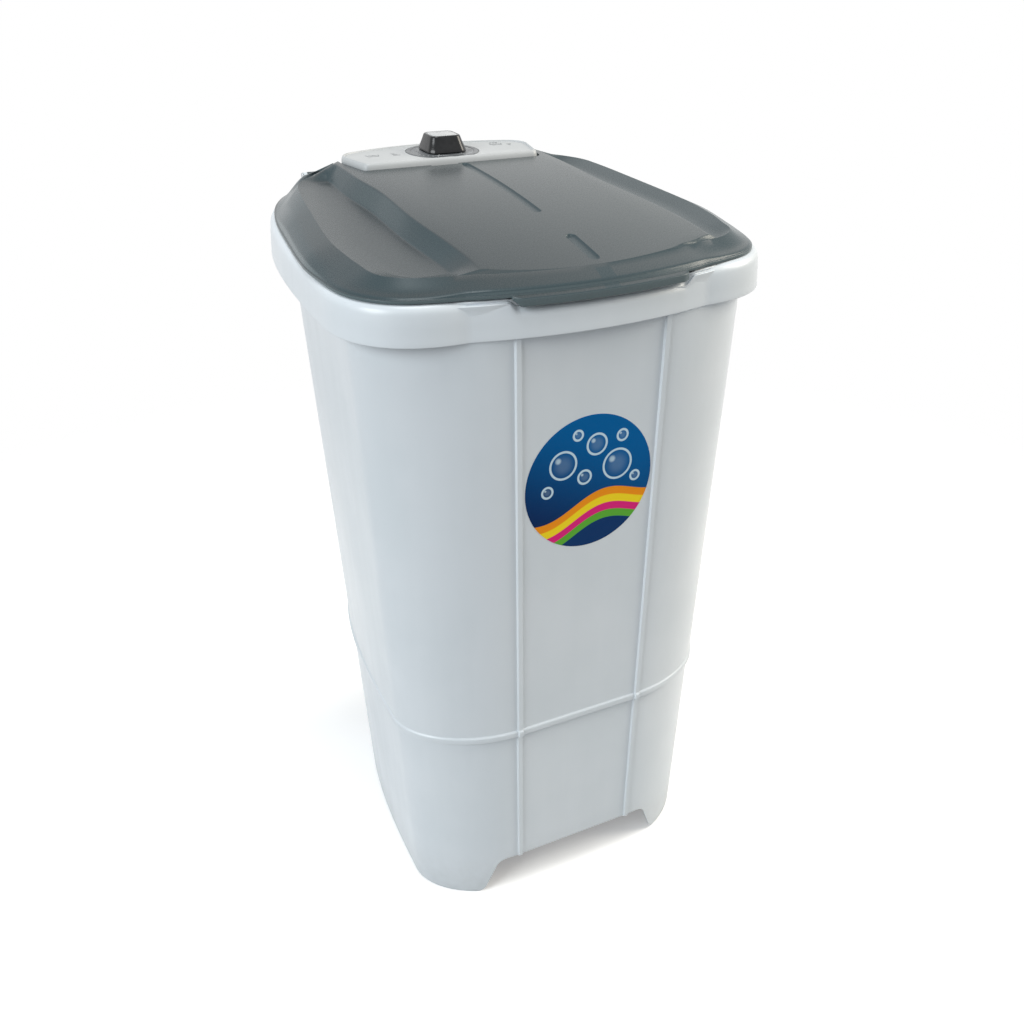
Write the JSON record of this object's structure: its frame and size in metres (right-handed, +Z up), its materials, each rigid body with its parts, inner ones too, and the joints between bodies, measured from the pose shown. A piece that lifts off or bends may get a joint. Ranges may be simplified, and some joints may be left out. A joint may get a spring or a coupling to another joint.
{
  "type": "top-loading washing machine",
  "caption": "Compact top-loading washing machine with a tapered moulded tub, rolled rim, smoky lifting lid, rear control panel with a timer knob, and an arched base skirt.",
  "frame": {"origin": "on the floor, at the middle of the overall box in plan, lid closed", "axes": "+Z up, -Y towards the user at the front, +X to the right when seen from the front"},
  "size_m": [0.5018, 0.521, 0.9259],
  "materials": {
    "body_plastic": "light grey-blue moulded polypropylene, soft gloss",
    "panel_plastic": "neutral light grey moulded plastic, soft gloss",
    "smoky_plastic": "smoky grey translucent plastic, polished",
    "black_gloss": "polished black",
    "silver_print": "silver print under a clear coat",
    "white_plastic": "satin white",
    "dark_plastic": "dark grey, satin",
    "zinc_steel": "zinc-plated",
    "bright_steel": "ground bright steel",
    "cast_alloy": "die-cast, unpainted",
    "lamination_steel": "varnished steel laminations",
    "bronze": "sintered bronze",
    "rubber": "black rubber"
  },
  "bodies": {
    "cabinet": {"tub_body": "body_plastic", "base_skirt": "body_plastic", "wire_cover": "body_plastic", "control_panel": "panel_plastic", "dial_ring": "silver_print", "capacitor": "white_plastic", "bottom_cover": "dark_plastic", "timer_body": "dark_plastic", "drain_elbow": "dark_plastic", "cable_gland": "dark_plastic", "hinge_pin_right": "zinc_steel", "hinge_pin_left": "zinc_steel", "base_screw_1": "zinc_steel", "base_screw_2": "zinc_steel", "base_screw_3": "zinc_steel", "base_screw_4": "zinc_steel", "cover_screw_1": "zinc_steel", "cover_screw_2": "zinc_steel", "cover_screw_3": "zinc_steel", "cover_screw_4": "zinc_steel", "panel_screw_1": "zinc_steel", "panel_screw_2": "zinc_steel", "timer_screw_1": "zinc_steel", "timer_screw_2": "zinc_steel", "housing_screw_1": "zinc_steel", "housing_screw_2": "zinc_steel", "housing_screw_3": "zinc_steel", "motor_bracket": "zinc_steel", "motor_bolt_1": "zinc_steel", "motor_bolt_2": "zinc_steel", "mount_bolt_1": "zinc_steel", "mount_bolt_2": "zinc_steel", "mount_bolt_3": "zinc_steel", "mount_bolt_4": "zinc_steel", "capacitor_clamp": "zinc_steel", "bearing_housing": "cast_alloy", "motor_top_bell": "cast_alloy", "motor_bottom_bell": "cast_alloy", "motor_stator": "lamination_steel", "upper_bush": "bronze", "lower_bush": "bronze", "shaft_seal": "rubber", "drive_belt": "rubber", "motor_pad_right": "rubber", "motor_pad_left": "rubber"},
    "lid": {"lid": "smoky_plastic"},
    "knob": {"timer_knob": "black_gloss", "timer_shaft": "bright_steel"},
    "agitator": {"agitator": "white_plastic", "agitator_cap": "white_plastic", "agitator_screw": "bright_steel", "agitator_shaft": "bright_steel", "large_pulley": "dark_plastic", "pulley_nut": "zinc_steel"},
    "rotor": {"motor_rotor": "lamination_steel", "motor_shaft": "bright_steel", "motor_pulley": "cast_alloy", "motor_fan": "dark_plastic"},
    "filter": {"lint_filter": "white_plastic"}
  },
  "joints": [
    {"name": "lid_hinge", "type": "hinge", "parent": "cabinet", "child": "lid", "pos_m": [0, 0.2525, 0.87425], "axis": [-1, 0, 0], "range_deg": [0, 95]},
    {"name": "knob_turn", "type": "hinge", "parent": "cabinet", "child": "knob", "pos_m": [0.004, 0.1645, 0.90603], "axis": [0, 0.013, -0.9999], "range_deg": [0, 300]},
    {"name": "motor_spin", "type": "hinge", "parent": "cabinet", "child": "rotor", "pos_m": [0, 0.1295, 0.2], "axis": [0, 0, 1], "continuous": true},
    {"name": "agitator_spin", "type": "hinge", "parent": "cabinet", "child": "agitator", "pos_m": [0, -0.0135, 0.3], "axis": [0, 0, 1], "continuous": true},
    {"name": "filter_lift", "type": "slide", "parent": "cabinet", "child": "filter", "axis": [0, 0, 1], "range_m": [0, 0.16]}
  ],
  "couplings": [
    {"joint": "agitator_spin", "follows": "motor_spin", "ratio": 0.30476}
  ]
}
